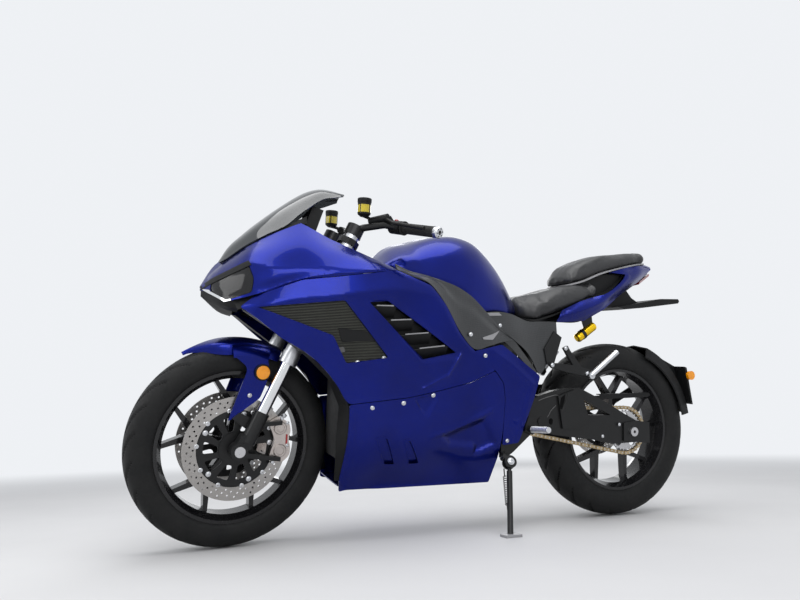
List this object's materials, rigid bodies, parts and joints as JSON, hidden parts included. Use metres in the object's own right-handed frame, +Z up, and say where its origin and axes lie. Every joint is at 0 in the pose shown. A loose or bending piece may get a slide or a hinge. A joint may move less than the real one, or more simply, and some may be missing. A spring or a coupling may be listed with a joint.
{
  "type": "sport bike",
  "caption": "Faired electric sport bike with split cast wheels and chain drive, leaning on its side stand.",
  "frame": {"origin": "middle of the footprint's bounding box, on the floor the tyres and the stand foot rest on", "axes": "+X forward towards the front wheel, +Y to the bike's left, the side it leans to, +Z up"},
  "size_m": [2.0038, 0.6922, 1.081],
  "materials": {
    "blue_paint": "gloss deep blue lacquer",
    "black_frame": "satin black paint",
    "black_plastic": "fine grained black plastic",
    "dark_trim": "dark woven look satin trim",
    "smoke_screen": "smoked clear plastic",
    "smoked_lens": "smoked lamp cover",
    "seat_cover": "black grained seat vinyl",
    "tyre": "black road tyre rubber",
    "wheel": "gloss black cast wheel",
    "steel": "brushed stainless steel",
    "chrome": "hard chrome",
    "silver": "satin anodised aluminium",
    "gold": "gold anodised aluminium",
    "chain_gold": "gold zinc chain plates",
    "caliper": "bronze grey cast aluminium",
    "rubber": "ribbed black rubber",
    "amber": "amber prismatic reflector",
    "red_lens": "red tail lens",
    "yellow_fluid": "clear cup of yellow brake fluid",
    "battery_case": "matt black case"
  },
  "bodies": {
    "chassis": {"frame": "black_frame", "pivot_pin": "black_frame", "battery_block": "battery_case", "motor": "battery_case", "subframe": "black_frame", "nose_cowl": "blue_paint", "headlamps": "smoked_lens", "windscreen": "smoke_screen", "dash_panel": "black_plastic", "side_fairings": "blue_paint", "belly_pan": "blue_paint", "vent_grilles": "black_plastic", "inner_panels": "black_plastic", "spar_covers": "blue_paint", "tank": "blue_paint", "side_trims": "dark_trim", "rider_seat": "seat_cover", "pillion_seat": "seat_cover", "tail_cowl": "blue_paint", "tail_lamp": "red_lens", "tail_plate": "black_plastic", "swingarm": "black_frame", "rear_axle": "steel", "rear_caliper": "caliper", "chain": "chain_gold", "chain_guard": "black_plastic", "rear_shock": "black_frame", "gas_reservoir": "gold", "peg_hangers": "black_frame", "pillion_pegs": "silver", "rear_guard": "black_plastic", "rear_reflectors": "amber"},
    "steering": {"fork_tubes": "silver", "stanchions": "chrome", "fork_feet": "black_frame", "triple_clamps": "black_frame", "handlebars": "black_frame", "grips": "rubber", "bar_ends": "silver", "controls": "black_plastic", "reservoirs": "yellow_fluid", "front_fender": "blue_paint", "fender_reflectors": "amber", "front_calipers": "caliper", "front_axle": "steel"},
    "front_wheel": {"front_tyre": "tyre", "front_rim": "wheel", "front_discs": "steel"},
    "rear_wheel": {"rear_tyre": "tyre", "rear_rim": "wheel", "rear_disc": "steel", "rear_sprocket": "steel"},
    "side_stand": {"stand_leg": "black_frame"}
  },
  "joints": [
    {"name": "steering_turn", "type": "hinge", "parent": "chassis", "child": "steering", "pos_m": [0.43141, -0.00538, 0.79492], "axis": [-0.4215, 0.1261, 0.898], "range_deg": [-38, 22]},
    {"name": "front_wheel_turn", "type": "hinge", "parent": "steering", "child": "front_wheel", "pos_m": [0.70852, -0.07076, 0.29163], "axis": [-0.1264, 0.9724, -0.1959], "continuous": true},
    {"name": "rear_wheel_turn", "type": "hinge", "parent": "chassis", "child": "rear_wheel", "pos_m": [-0.67112, -0.07301, 0.31498], "axis": [-0.0002, 0.9903, -0.1392], "continuous": true},
    {"name": "side_stand_fold", "type": "hinge", "parent": "chassis", "child": "side_stand", "pos_m": [-0.14325, 0.07996, 0.21004], "axis": [0.1145, 0.9358, 0.3333], "range_deg": [0, 111.47]}
  ]
}
